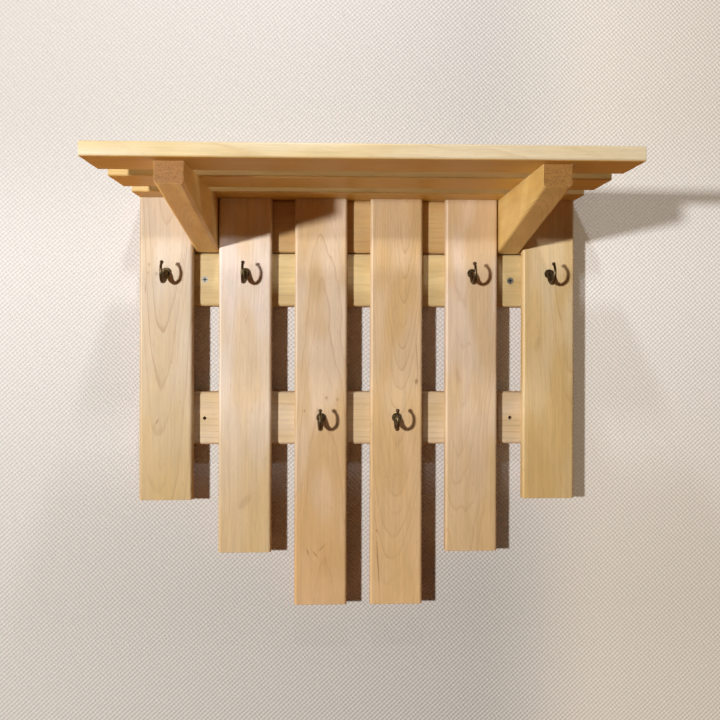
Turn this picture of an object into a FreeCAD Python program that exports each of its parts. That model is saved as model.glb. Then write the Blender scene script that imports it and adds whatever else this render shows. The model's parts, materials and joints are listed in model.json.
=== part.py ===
import FreeCAD, Part
import math
import os

# Wall coat rack with a slatted hat shelf, all lengths in millimetres.
# X runs along the rack to the right as one faces it, Z is up and Y points into the wall.
# The origin is on the wall plane, midway between the two wall screws.

Vector = FreeCAD.Vector
sideways = Vector(1, 0, 0)
upward = Vector(0, 0, 1)
into_wall = Vector(0, 1, 0)
out_of_wall = Vector(0, -1, 0)

# Upright slats, from the left
slat_count = 6
slat_width = 70.0
slat_thickness = 14.0
slat_gap = 30.5
bracket_gap = 34.0
outer_slat_length = 400.0
slat_length_step = 70.0
board_edge_radius = 4.0
end_easing = 0.6

# Rails behind the slats
rail_width = 71.0
rail_thickness = 15.0
rail_seam = 1.0
lower_rail_drop = 258.0

# Shelf boards, laid along the rack with gaps between them
shelf_board_count = 3
shelf_board_depth = 62.0
shelf_board_thickness = 16.0
shelf_board_gap = 32.0
shelf_wall_gap = 4.0
shelf_edge_radius = 2.5

# Brackets that stand in the wider outer gaps between the slats
bracket_side_clearance = 1.5
bracket_front_height = 24.0
shelf_overhang = 16.5
bracket_edge_radius = 4.0

# Hooks: a round rosette with a flat arm that curls out and up to a ball, screwed in by its own thread
upper_hook_drop = 99.0
lower_hook_drop = 291.0
rosette_radius = 6.0
rosette_thickness = 2.6
rosette_edge_radius = 1.2
arm_curl_out = 17.5
arm_curl_drop = 0.3
arm_ball_radius = 2.5
arm_oval_steps = 12
# Along the arm: angle about the curl's centre, distance from it, half width and half thickness
arm_ovals = (
    (168.0, 14.7, 2.2, 0.9),
    (182.0, 12.7, 3.8, 2.15),
    (203.0, 11.2, 4.0, 2.2),
    (235.0, 12.5, 3.65, 2.2),
    (272.0, 13.5, 2.95, 2.1),
    (315.0, 12.3, 2.25, 1.95),
    (355.0, 11.5, 1.9, 1.8),
    (392.0, 12.0, 1.72, 1.68),
    (425.0, 12.8, 1.65, 1.6),
)
hook_screw_radius = 1.8
hook_screw_cover = 4.6
hook_thread_pitch = 2.0
hook_thread_depth = 0.5
hook_screw_tip_height = 3.0

# Screws, all countersunk
screw_clearance = 0.1
screw_sink = 0.2
board_screw_radius = 1.75
board_screw_head_radius = 3.5
board_screw_head_height = 2.2
slat_screw_cover = 5.0
shelf_screw_cover = 5.0
bracket_screw_bite = 40.0
bracket_screw_radius = 2.0
bracket_screw_head_radius = 4.0
bracket_screw_head_height = 2.5
wall_screw_bite = 30.0
wall_screw_radius = 2.25
wall_screw_shank_radius = 1.65
wall_screw_head_radius = 4.5
wall_screw_head_height = 2.8
thread_pitch = 2.4
thread_crest = 0.3
thread_first_crest = 1.0
thread_depth = 0.65
screw_head_rim = 0.5
screw_tip_height = 5.0
recess_width = 1.0
recess_depth = 1.5
recess_reach_share = 1.1

# Where the screws sit on the boards
slat_screw_edge = 15.0
bracket_screw_headroom = 9.0
bracket_screw_footroom = 16.0
shelf_screw_edge = 13.0
wall_screw_outward = 3.5

# A cut runs this far past the face it opens
overrun = 2.0

# Places that follow from the sizes above
slat_pitch = slat_width + slat_gap
rack_width = slat_width + (slat_count - 1) * slat_pitch + 2 * (bracket_gap - slat_gap)
rack_left = -rack_width / 2
slat_top = rail_width + rail_seam + rail_width / 2
slat_back = -rail_thickness
slat_front = slat_back - slat_thickness
top_rail_middle = slat_top - rail_width / 2
middle_rail_middle = top_rail_middle - rail_width - rail_seam
lower_rail_middle = slat_top - lower_rail_drop - rail_width / 2
shelf_pitch = shelf_board_depth + shelf_board_gap
shelf_top = slat_top + shelf_board_thickness
shelf_depth = shelf_board_count * shelf_board_depth + (shelf_board_count - 1) * shelf_board_gap
shelf_front = -shelf_wall_gap - shelf_depth
bracket_thickness = bracket_gap - 2 * bracket_side_clearance
bracket_front = shelf_front + shelf_overhang
bracket_middle = -rack_left - slat_width - bracket_gap / 2
wall_screw_middle = bracket_middle + wall_screw_outward
slat_screw_length = rail_thickness + slat_thickness - slat_screw_cover
shelf_screw_bite = bracket_front_height - shelf_screw_cover
shelf_screw_length = shelf_board_thickness + shelf_screw_bite
bracket_screw_length = rail_thickness + bracket_screw_bite
wall_screw_length = rail_thickness + wall_screw_bite
wall_hole_radius = wall_screw_radius + screw_clearance
hook_screw_length = slat_thickness - hook_screw_cover
arm_curl_centre = Vector(0, -arm_curl_out, -arm_curl_drop)


def slat_middle(index):
    """X of a slat's centre line, counted from the left: the outer gaps hold the brackets and are wider."""
    half_way = (slat_count - 1) / 2
    steps = index - half_way
    if abs(steps) < half_way:
        return steps * slat_pitch
    return math.copysign(-rack_left - slat_width / 2, steps)


def slat_length(index):
    """Length of a slat: the rack steps down towards its middle."""
    return outer_slat_length + slat_length_step * min(index, slat_count - 1 - index)


def spans(edge):
    """Extents of an edge along X, Y and Z."""
    box = edge.BoundBox
    return (box.XLength, box.YLength, box.ZLength)


def board(corner, size, grain, edge_radius):
    """Planed board from its lowest corner: rounded along its grain (an axis number) and eased at its ends."""
    length = size[grain]
    middle = corner[grain] + length / 2
    block = Part.makeBox(size.x, size.y, size.z, corner)
    long_edges = [edge for edge in block.Edges if spans(edge)[grain] > length / 2]
    rounded = block.makeFillet(edge_radius, long_edges)
    end_edges = [edge for edge in rounded.Edges if abs(edge.CenterOfMass[grain] - middle) > length / 4]
    return rounded.makeFillet(end_easing, end_edges)


def turned(outline):
    """Solid made by turning an outline of (radius, height) points about Z."""
    points = [Vector(radius, 0, height) for radius, height in outline]
    face = Part.Face(Part.makePolygon(points + points[:1]))
    return face.revolve(Vector(0, 0, 0), Vector(0, 0, 1), 360)


def screw_outline(radius, head_radius, head_height, length):
    """Outline of a countersunk screw, with the top of its head at height zero."""
    return [
        (0, 0),
        (head_radius, 0),
        (head_radius, -screw_head_rim),
        (radius, -head_height),
        (radius, screw_tip_height - length),
        (0, -length),
    ]


def cross_recess(head_radius):
    """Cross-shaped pocket for the driver, sunk from the top of a screw's head."""
    reach = head_radius * recess_reach_share
    bar = Part.makeBox(
        reach, recess_width, recess_depth + overrun, Vector(-reach / 2, -recess_width / 2, -recess_depth)
    )
    crossing = bar.copy()
    crossing.rotate(Vector(0, 0, 0), Vector(0, 0, 1), 90)
    return bar.fuse(crossing)


def countersunk_screw(radius, head_radius, head_height, length):
    """Countersunk wood screw with a cross recess, its head up."""
    body = turned(screw_outline(radius, head_radius, head_height, length))
    return body.cut(cross_recess(head_radius))


def screw_hole(radius, head_radius, head_height, length):
    """Countersink and hole that clear a countersunk screw all round, open at the surface."""
    wide = head_radius + screw_clearance
    narrow = radius + screw_clearance
    return turned(
        [
            (0, overrun),
            (wide, overrun),
            (wide, -screw_head_rim),
            (narrow, -head_height - screw_clearance),
            (narrow, -length - screw_clearance),
            (0, -length - screw_clearance),
        ]
    )


def wall_screw():
    """Wall screw with a plain shank through the rail and a ridged thread that starts at the wall."""
    core = wall_screw_radius - thread_depth
    thread_start = screw_sink - rail_thickness
    crest_length = thread_first_crest
    outline = [
        (0, 0),
        (wall_screw_head_radius, 0),
        (wall_screw_head_radius, -screw_head_rim),
        (wall_screw_shank_radius, -wall_screw_head_height),
        (wall_screw_shank_radius, thread_start + thread_depth),
    ]
    ridges = int((wall_screw_length - screw_tip_height + thread_start) / thread_pitch)
    for ridge in range(ridges):
        crest = thread_start - ridge * thread_pitch
        outline.append((wall_screw_radius, crest))
        outline.append((wall_screw_radius, crest - crest_length))
        outline.append((core, crest - crest_length - thread_depth))
        outline.append((core, crest - thread_pitch + thread_depth))
        crest_length = thread_crest
    outline[-1] = (core, screw_tip_height - wall_screw_length)
    outline.append((0, -wall_screw_length))
    return turned(outline).cut(cross_recess(wall_screw_head_radius))


def wall_screw_hole():
    """Countersink and clearance hole for a wall screw, right through the rail."""
    return turned(
        [
            (0, overrun),
            (wall_screw_head_radius + screw_clearance, overrun),
            (wall_screw_head_radius + screw_clearance, -screw_head_rim),
            (wall_hole_radius, -wall_screw_head_height - screw_clearance),
            (wall_hole_radius, -rail_thickness - overrun),
            (0, -rail_thickness - overrun),
        ]
    )


def placed(shape, point, facing):
    """Copy of a shape made with its top towards +Z, turned so that its top faces a direction, at a point."""
    moved = shape.copy()
    rotation = FreeCAD.Rotation(Vector(0, 0, 1), facing)
    moved.Placement = FreeCAD.Placement(point, rotation)
    return moved


def rosette():
    """Round plate of a hook with its face edge rounded, and the ridged screw behind it."""
    inner = rosette_radius - rosette_edge_radius
    shoulder = rosette_thickness - rosette_edge_radius
    turn = math.cos(math.pi / 4) * rosette_edge_radius
    core = hook_screw_radius - hook_thread_depth
    points = [
        Vector(0, 0, rosette_thickness),
        Vector(inner, 0, rosette_thickness),
        Vector(rosette_radius, 0, shoulder),
        Vector(rosette_radius, 0, 0),
        Vector(core, 0, 0),
    ]
    ridges = int((hook_screw_length - hook_screw_tip_height) / hook_thread_pitch)
    for ridge in range(ridges):
        root = -ridge * hook_thread_pitch - hook_thread_pitch / 2
        points.append(Vector(core, 0, root))
        points.append(Vector(hook_screw_radius, 0, root - hook_thread_depth))
        points.append(Vector(core, 0, root - 2 * hook_thread_depth))
    points.append(Vector(core, 0, hook_screw_tip_height - hook_screw_length))
    points.append(Vector(0, 0, -hook_screw_length))
    points.append(points[0])
    edges = [Part.makeLine(start, end) for start, end in zip(points, points[1:])]
    edges[1] = Part.Arc(points[1], Vector(inner + turn, 0, shoulder + turn), points[2]).toShape()
    return Part.Face(Part.Wire(edges)).revolve(Vector(0, 0, 0), Vector(0, 0, 1), 360)


def curl_direction(angle):
    """Direction from the curl's centre in side view: 180 degrees is its root and 360 its foremost point."""
    return Vector(0, -math.cos(math.radians(angle)), math.sin(math.radians(angle)))


def arm_oval(angle, distance, half_width, half_thickness):
    """Oval cross-section of a hook's arm, in a plane through the curl's centre."""
    outward = curl_direction(angle)
    centre = arm_curl_centre + outward * distance
    wide = sideways * half_width
    thick = outward * half_thickness
    points = []
    for step in range(arm_oval_steps):
        turn = 2 * math.pi * step / arm_oval_steps
        points.append(centre + wide * math.cos(turn) + thick * math.sin(turn))
    oval = Part.BSplineCurve()
    oval.interpolate(Points=points, PeriodicFlag=True)
    return Part.Wire([oval.toShape()])


def hook():
    """Whole hook, its rosette's back on the plane Y = 0 and its arm towards -Y."""
    plate = placed(rosette(), Vector(0, 0, 0), out_of_wall)
    arm = Part.makeLoft([arm_oval(*oval) for oval in arm_ovals], True, False)
    end_angle, end_distance = arm_ovals[-1][:2]
    tip = arm_curl_centre + curl_direction(end_angle) * end_distance
    ball = Part.makeSphere(arm_ball_radius, tip)
    return plate.fuse([arm, ball]).removeSplitter()


def bracket(middle):
    """Solid bracket centred on X = middle: level top, upright front cut and a sloping underside."""
    left = middle - bracket_thickness / 2
    outline = [
        Vector(left, slat_back, slat_top),
        Vector(left, bracket_front, slat_top),
        Vector(left, bracket_front, slat_top - bracket_front_height),
        Vector(left, slat_back, slat_top - rail_width),
    ]
    face = Part.Face(Part.makePolygon(outline + outline[:1]))
    wedge = face.extrude(Vector(bracket_thickness, 0, 0))
    slope = [edge for edge in wedge.Edges if spans(edge)[1] > bracket_front_height and spans(edge)[2] > 0]
    rounded = wedge.makeFillet(bracket_edge_radius, slope)
    front_limit = bracket_front + end_easing
    front_edges = [edge for edge in rounded.Edges if edge.CenterOfMass.y < front_limit]
    return rounded.makeFillet(end_easing, front_edges)


def board_screw(length):
    """Screw that joins boards, its head up."""
    return countersunk_screw(board_screw_radius, board_screw_head_radius, board_screw_head_height, length)


def board_screw_hole(length):
    """Hole for a screw that joins boards."""
    return screw_hole(board_screw_radius, board_screw_head_radius, board_screw_head_height, length)


def bracket_screw():
    """Longer screw that holds a bracket to the top rail, its head up."""
    return countersunk_screw(
        bracket_screw_radius, bracket_screw_head_radius, bracket_screw_head_height, bracket_screw_length
    )


def bracket_screw_hole():
    """Hole for a screw that holds a bracket to the top rail."""
    return screw_hole(
        bracket_screw_radius, bracket_screw_head_radius, bracket_screw_head_height, bracket_screw_length
    )


def hook_screw_hole():
    """Blind hole in a slat for a hook's screw."""
    depth = hook_screw_length + screw_clearance
    return Part.makeCylinder(hook_screw_radius + screw_clearance, depth + overrun, Vector(0, 0, -depth))


def shapes_at(shape, points, facing):
    """One copy of a shape at each point, turned to face a direction."""
    return [placed(shape, point, facing) for point in points]


def slat_screw_points(index, height):
    """Heads of the two screws that hold one slat to the rail whose middle is at a height."""
    middle = slat_middle(index)
    half = slat_width / 2 - slat_screw_edge
    return [Vector(middle - half, -screw_sink, height), Vector(middle + half, -screw_sink, height)]


def rail_screw_points(height):
    """Heads of all the screws that hold the slats to one rail."""
    return [point for index in range(slat_count) for point in slat_screw_points(index, height)]


def bracket_screw_points(middle):
    """Heads of the two screws behind one bracket."""
    upper = slat_top - shelf_screw_bite - bracket_screw_headroom
    lower = slat_top - rail_width + bracket_screw_footroom
    return [Vector(middle, -screw_sink, height) for height in (upper, lower)]


def shelf_board_back(index):
    """Y of a shelf board's rear edge, counted from the wall."""
    return -shelf_wall_gap - index * shelf_pitch


def shelf_screw_points(index):
    """Heads of the screws that hold one shelf board to both brackets."""
    rear = min(shelf_board_back(index), slat_back) - shelf_screw_edge
    front = max(shelf_board_back(index) - shelf_board_depth, bracket_front) + shelf_screw_edge
    height = shelf_top - screw_sink
    return [Vector(x, y, height) for x in (-bracket_middle, bracket_middle) for y in (rear, front)]


def wall_screw_points():
    """Heads of the two wall screws, in the middle rail."""
    head = slat_back + screw_sink
    return [Vector(x, head, middle_rail_middle) for x in (-wall_screw_middle, wall_screw_middle)]


def hook_point(index):
    """Centre of a hook's rosette on its slat: the two middle slats carry theirs lower."""
    lower = slat_count / 2 - 1 <= index <= slat_count / 2
    drop = lower_hook_drop if lower else upper_hook_drop
    return Vector(slat_middle(index), slat_front, slat_top - drop)


def slat(index):
    """Upright slat with its screw holes."""
    length = slat_length(index)
    corner = Vector(slat_middle(index) - slat_width / 2, slat_front, slat_top - length)
    blank = board(corner, Vector(slat_width, slat_thickness, length), 2, board_edge_radius)
    points = []
    for height in (top_rail_middle, middle_rail_middle, lower_rail_middle):
        points += slat_screw_points(index, height)
    holes = shapes_at(board_screw_hole(slat_screw_length), points, into_wall)
    holes.append(placed(hook_screw_hole(), hook_point(index), out_of_wall))
    return blank.cut(holes)


def rail(height, holes):
    """Rail against the wall, its middle at a height, cut by the slats' screws and by other holes."""
    corner = Vector(rack_left, slat_back, height - rail_width / 2)
    blank = board(corner, Vector(rack_width, rail_thickness, rail_width), 0, board_edge_radius)
    slat_holes = shapes_at(board_screw_hole(slat_screw_length), rail_screw_points(height), into_wall)
    return blank.cut(slat_holes + holes)


def shelf_board(index):
    """Shelf board with its screw holes, counted from the wall."""
    front = shelf_board_back(index) - shelf_board_depth
    size = Vector(rack_width, shelf_board_depth, shelf_board_thickness)
    blank = board(Vector(rack_left, front, slat_top), size, 0, shelf_edge_radius)
    return blank.cut(shapes_at(board_screw_hole(shelf_screw_length), shelf_screw_points(index), upward))


def drilled_bracket(middle):
    """Bracket with the holes for the shelf's screws and its own."""
    holes = shapes_at(bracket_screw_hole(), bracket_screw_points(middle), into_wall)
    for index in range(shelf_board_count):
        holes += shapes_at(board_screw_hole(shelf_screw_length), shelf_screw_points(index), upward)
    return bracket(middle).cut(holes)


def lower_wall_holes():
    """Two plain holes through the lower rail for further wall screws."""
    depth = rail_thickness + 2 * overrun
    hole = Part.makeCylinder(wall_hole_radius, depth, Vector(0, 0, -depth + overrun))
    points = [Vector(x, slat_back, lower_rail_middle) for x in (-wall_screw_middle, wall_screw_middle)]
    return shapes_at(hole, points, out_of_wall)


def save(name, shapes):
    """Write one node's file: one solid, or a group of like screws."""
    shape = shapes[0] if len(shapes) == 1 else Part.makeCompound(shapes)
    shape.exportStep(os.path.join("parts", name + ".step"))


def main():
    """Build every node and write it."""
    os.makedirs("parts", exist_ok=True)
    bracket_middles = (-bracket_middle, bracket_middle)
    bracket_points = bracket_screw_points(bracket_middles[0]) + bracket_screw_points(bracket_middles[1])
    coat_hook = hook()
    for index in range(slat_count):
        save("slat_%d" % (index + 1), [slat(index)])
        save("hook_%d" % (index + 1), [placed(coat_hook, hook_point(index), upward)])
    save("top_rail", [rail(top_rail_middle, shapes_at(bracket_screw_hole(), bracket_points, into_wall))])
    wall_holes = shapes_at(wall_screw_hole(), wall_screw_points(), out_of_wall)
    save("middle_rail", [rail(middle_rail_middle, wall_holes)])
    save("lower_rail", [rail(lower_rail_middle, lower_wall_holes())])
    for index, name in enumerate(("back", "middle", "front")):
        save("shelf_board_" + name, [shelf_board(index)])
    for side, middle in zip(("left", "right"), bracket_middles):
        save("bracket_" + side, [drilled_bracket(middle)])
    heights = (top_rail_middle, middle_rail_middle, lower_rail_middle)
    slat_screw = board_screw(slat_screw_length)
    for name, height in zip(("top", "middle", "lower"), heights):
        save(name + "_rail_screws", shapes_at(slat_screw, rail_screw_points(height), into_wall))
    save("bracket_screws", shapes_at(bracket_screw(), bracket_points, into_wall))
    shelf_points = []
    for index in range(shelf_board_count):
        shelf_points += shelf_screw_points(index)
    save("shelf_screws", shapes_at(board_screw(shelf_screw_length), shelf_points, upward))
    for side, point in zip(("left", "right"), wall_screw_points()):
        save("wall_screw_" + side, [placed(wall_screw(), point, out_of_wall)])


main()
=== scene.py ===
"""Wall coat rack with a slatted hat shelf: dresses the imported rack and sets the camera, the wall and the light."""

import json
import logging
import math
from collections.abc import Sequence
from dataclasses import dataclass, fields
from enum import Enum
from typing import Any

import bpy
from bpy.types import Material, Mesh, Node, NodeTree, Object
from mathutils import Matrix, Vector

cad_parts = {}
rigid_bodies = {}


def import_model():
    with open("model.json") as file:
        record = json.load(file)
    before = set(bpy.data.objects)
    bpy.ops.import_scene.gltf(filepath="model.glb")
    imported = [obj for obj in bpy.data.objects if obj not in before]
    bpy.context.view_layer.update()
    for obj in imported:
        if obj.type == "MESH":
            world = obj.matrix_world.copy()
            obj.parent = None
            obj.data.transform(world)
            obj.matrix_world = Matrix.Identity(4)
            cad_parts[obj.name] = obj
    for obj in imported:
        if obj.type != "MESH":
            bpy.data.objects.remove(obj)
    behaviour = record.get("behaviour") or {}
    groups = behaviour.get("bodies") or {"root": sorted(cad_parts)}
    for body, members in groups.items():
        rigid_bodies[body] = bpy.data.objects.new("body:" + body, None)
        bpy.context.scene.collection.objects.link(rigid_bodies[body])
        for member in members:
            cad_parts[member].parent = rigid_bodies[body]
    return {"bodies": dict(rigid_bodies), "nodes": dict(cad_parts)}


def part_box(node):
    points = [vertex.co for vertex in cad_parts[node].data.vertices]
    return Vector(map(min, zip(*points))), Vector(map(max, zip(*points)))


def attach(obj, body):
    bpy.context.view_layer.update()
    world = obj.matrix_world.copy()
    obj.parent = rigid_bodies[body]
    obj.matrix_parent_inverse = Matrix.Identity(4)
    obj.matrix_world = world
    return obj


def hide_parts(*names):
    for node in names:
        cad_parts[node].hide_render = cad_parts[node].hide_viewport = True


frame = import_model()

log = logging.getLogger("coat rack")

MM = 0.001
IN_MM = (1 / MM, 1 / MM, 1 / MM)
QUARTER_TURN = math.pi / 2
BODY = "root"

Point = tuple[float, float, float]
Colour = tuple[float, float, float, float]
Socket = bpy.types.NodeSocket
Outputs = bpy.types.bpy_prop_collection


def tone(red: float, green: float, blue: float) -> Colour:
    """Colour for a shader from screen values of 0 to 255.

    Args:
        red: Red share of the screen colour.
        green: Green share.
        blue: Blue share.

    Returns:
        The linear colour with full alpha.
    """
    shares = [value / 255 for value in (red, green, blue)]
    linear = [share / 12.92 if share < 0.04045 else ((share + 0.055) / 1.055) ** 2.4 for share in shares]
    return (linear[0], linear[1], linear[2], 1.0)


def spelled(sizes: Any) -> dict[str, Any]:
    """The fields of a dataclass under the names that node inputs have, such as Edge Radius for edge_radius."""
    return {item.name.replace("_", " ").title(): getattr(sizes, item.name) for item in fields(sizes)}


def middle(node: str, axis: int) -> float:
    """Middle of a node's box along one axis."""
    low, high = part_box(node)
    return (low[axis] + high[axis]) / 2


class TreeKind(Enum):
    """What a node group makes: Blender's name for its tree, and the kind of its outputs."""

    MASKS = ("ShaderNodeTree", "Float")
    SHAPE = ("GeometryNodeTree", "Geometry")


class TreeBuilder:
    """Adds nodes to a tree and joins them, with values, sockets or nodes as inputs."""

    def __init__(self, tree: NodeTree) -> None:
        """Starts on an existing tree."""
        self.tree = tree
        self.source: Node | None = None
        self.sink: Node | None = None

    @classmethod
    def group(cls, name: str, kind: TreeKind, takes: dict[str, Any], gives: Sequence[str]) -> "TreeBuilder":
        """Makes a node group with its named inputs and outputs.

        Args:
            name: Name of the group.
            kind: What the group makes.
            takes: Start value of each input, or the input's kind where it has none.
            gives: Names of its outputs.

        Returns:
            A builder for the new group.
        """
        tree_type, result = kind.value
        tree = bpy.data.node_groups.new(name, tree_type)
        for port, start in takes.items():
            has_start = not isinstance(start, str)
            port_kind = {int: "Int", float: "Float"}[type(start)] if has_start else start
            socket = tree.interface.new_socket(port, in_out="INPUT", socket_type="NodeSocket" + port_kind)
            if has_start:
                socket.default_value = start
        for port in gives:
            tree.interface.new_socket(port, in_out="OUTPUT", socket_type="NodeSocket" + result)
        builder = cls(tree)
        builder.source = tree.nodes.new("NodeGroupInput")
        builder.sink = tree.nodes.new("NodeGroupOutput")
        return builder

    def __getitem__(self, name: str) -> Socket:
        """The socket that brings a group's input."""
        return self.source.outputs[name]

    def closed(self, results: dict[str, Any]) -> NodeTree:
        """Joins the results to a group's outputs.

        Args:
            results: Socket or node for each output.

        Returns:
            The finished group.
        """
        for name, value in results.items():
            self.feed(self.sink.inputs[name], value)
        return self.tree

    def dressed(self, geometry: Any) -> NodeTree:
        """Ends a geometry tree: makes its copies real and sets the finish.

        Args:
            geometry: The tree's shape.

        Returns:
            The finished tree.
        """
        real = self.add("GeometryNodeRealizeInstances", {"Geometry": geometry})
        coated = self.add("GeometryNodeSetMaterial", {"Geometry": real, "Material": self["Finish"]})
        return self.closed({"Geometry": coated})

    def feed(self, socket: Socket, value: Any) -> None:
        """Joins a socket or a node's first output to an input, or sets the input to a value.

        Args:
            socket: The input.
            value: What it gets.
        """
        if isinstance(value, Node):
            value = value.outputs[0]
        if isinstance(value, Socket):
            self.tree.links.new(value, socket)
        else:
            socket.default_value = value

    def add(self, kind: str, inputs: dict[str | int, Any] | None = None, **settings: Any) -> Node:
        """Adds one node.

        Args:
            kind: Blender's name for the node's type.
            inputs: Value, socket or node for each input, by name or number.
            settings: Properties of the node itself.

        Returns:
            The node.
        """
        node = self.tree.nodes.new(kind)
        for name, value in settings.items():
            setattr(node, name, value)
        for key, value in (inputs or {}).items():
            self.feed(node.inputs[key], value)
        return node

    def placed(self, group: NodeTree, inputs: dict[str, Any]) -> Outputs:
        """Places a shared group in a material with its own values.

        Args:
            group: The shader node group.
            inputs: What its inputs get. A name that the group doesn't have is passed over.

        Returns:
            The group's outputs.
        """
        node = self.add("ShaderNodeGroup", node_tree=group)
        for key, value in inputs.items():
            if key in node.inputs:
                self.feed(node.inputs[key], value)
        return node.outputs

    def math(self, operation: str, first: Any, second: Any = 0.0, clamp: bool = False) -> Socket:
        """Operation on two numbers."""
        return self.add("ShaderNodeMath", {0: first, 1: second}, operation=operation, use_clamp=clamp).outputs[0]

    def times(self, first: Any, *others: Any) -> Socket:
        """Product of numbers, from the left."""
        for other in others:
            first = self.math("MULTIPLY", first, other)
        return first

    def plus(self, first: Any, second: Any) -> Socket:
        """Sum of two numbers."""
        return self.math("ADD", first, second)

    def minus(self, first: Any, second: Any) -> Socket:
        """Difference of two numbers."""
        return self.math("SUBTRACT", first, second)

    def over(self, first: Any, second: Any) -> Socket:
        """Quotient of two numbers."""
        return self.math("DIVIDE", first, second)

    def weighted(self, first: Any, first_share: float, second: Any, second_share: float) -> Socket:
        """Sum of two numbers, each times its share."""
        return self.plus(self.times(first, first_share), self.times(second, second_share))

    def vector(self, operation: str, first: Any, second: Any) -> Socket:
        """Operation on two vectors that gives a vector."""
        return self.add("ShaderNodeVectorMath", {0: first, 1: second}, operation=operation).outputs[0]

    def scaled(self, vector: Any, factor: Any) -> Socket:
        """A vector or a colour times a number."""
        return self.add("ShaderNodeVectorMath", {0: vector, 3: factor}, operation="SCALE").outputs[0]

    def parts(self, vector: Any) -> Sequence[Socket]:
        """The three parts of a vector."""
        return self.add("ShaderNodeSeparateXYZ", {0: vector}).outputs

    def joined(self, across: Any, through: Any, along: Any) -> Socket:
        """A vector from its three parts."""
        return self.add("ShaderNodeCombineXYZ", {0: across, 1: through, 2: along}).outputs[0]

    def reach(self, across: Any, along: Any) -> Socket:
        """Distance of a flat place from the middle."""
        flat = self.joined(across, along, 0.0)
        return self.add("ShaderNodeVectorMath", {0: flat}, operation="LENGTH").outputs[1]

    def seeded(self, place: Any) -> Socket:
        """A place moved across by the group's seed."""
        return self.vector("ADD", place, self.joined(self["Seed"], 0.0, 0.0))

    def span(self, value: Any, low: Any, high: Any, start: Any = 0.0, end: Any = 1.0) -> Socket:
        """Maps a value smoothly from one range to another and holds it there."""
        inputs = {0: value, 1: low, 2: high, 3: start, 4: end}
        return self.add("ShaderNodeMapRange", inputs, interpolation_type="SMOOTHSTEP").outputs[0]

    def ramp(self, value: Any, low: Any, high: Any, start: Any = 0.0, end: Any = 1.0) -> Socket:
        """Maps a value in a straight line from one range to another and holds it there."""
        return self.add("ShaderNodeMapRange", {0: value, 1: low, 2: high, 3: start, 4: end}).outputs[0]

    def noise(self, vector: Any, scale: Any, detail: float = 2.0, roughness: float = 0.5) -> Socket:
        """Cloudy noise between 0 and 1."""
        inputs = {"Vector": vector, "Scale": scale, "Detail": detail, "Roughness": roughness}
        return self.add("ShaderNodeTexNoise", inputs).outputs[0]

    def blend(self, share: Any, first: Any, second: Any) -> Socket:
        """Mixes a second colour into a first one."""
        return self.add("ShaderNodeMix", {0: share, 6: first, 7: second}, data_type="RGBA").outputs[2]

    def moved(self, geometry: Any, place: Any = (0.0, 0.0, 0.0), turn: Point = (0.0, 0.0, 0.0)) -> Node:
        """Turns a piece of geometry and moves it."""
        return self.add("GeometryNodeTransform", {"Geometry": geometry, "Translation": place, "Rotation": turn})

    def union(self, pieces: Sequence[Any]) -> Node:
        """Puts pieces of geometry together.

        Args:
            pieces: The nodes that give them.

        Returns:
            The node that gives the whole.
        """
        node = self.add("GeometryNodeJoinGeometry")
        for piece in pieces:
            self.feed(node.inputs[0], piece)
        return node


def empty_material(name: str) -> tuple[Material, TreeBuilder, Outputs]:
    """Makes a material without a surface.

    Args:
        name: Name of the material.

    Returns:
        The material, its builder, and the outputs that give places and directions.
    """
    made = bpy.data.materials.new(name)
    made.use_nodes = True
    made.node_tree.nodes.clear()
    tree = TreeBuilder(made.node_tree)
    return made, tree, tree.add("ShaderNodeTexCoord").outputs


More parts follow.
